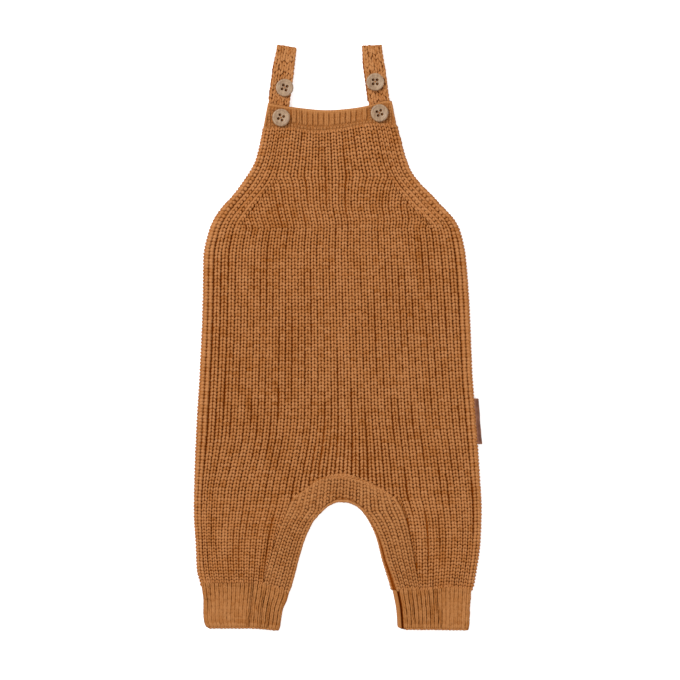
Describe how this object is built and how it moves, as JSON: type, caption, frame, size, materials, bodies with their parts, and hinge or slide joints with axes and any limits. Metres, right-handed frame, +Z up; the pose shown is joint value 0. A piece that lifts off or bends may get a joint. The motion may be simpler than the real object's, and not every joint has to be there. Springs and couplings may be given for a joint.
{
  "type": "kids dungarees",
  "caption": "Chunky rib-knitted baby dungarees laid flat: bib with buttoned shoulder straps, straight body, arched crotch gusset and two ribbed leg cuffs.",
  "frame": {"origin": "on the surface that the garment lies on, in the middle of its outline", "axes": "+X to the right of the laid garment as seen from above, +Y towards the shoulder straps, +Z up from the surface"},
  "size_m": [0.2455, 0.4991, 0.0114],
  "materials": {
    "rib_knit": "chunky rib knit, matt",
    "gusset_knit": "rib knit, matt",
    "band_knit": "fine rib knit, matt",
    "button": "satin horn look",
    "leather": "smooth brown leather"
  },
  "bodies": {
    "root": {"back_panel": "rib_knit", "front_panel": "rib_knit", "crotch_gusset": "gusset_knit", "neckband_front": "band_knit", "neckband_back": "band_knit", "strap_left": "band_knit", "strap_right": "band_knit", "cuff_left": "band_knit", "cuff_right": "band_knit", "button_upper_left": "button", "button_lower_left": "button", "button_upper_right": "button", "button_lower_right": "button", "side_label": "leather"}
  },
  "joints": []
}
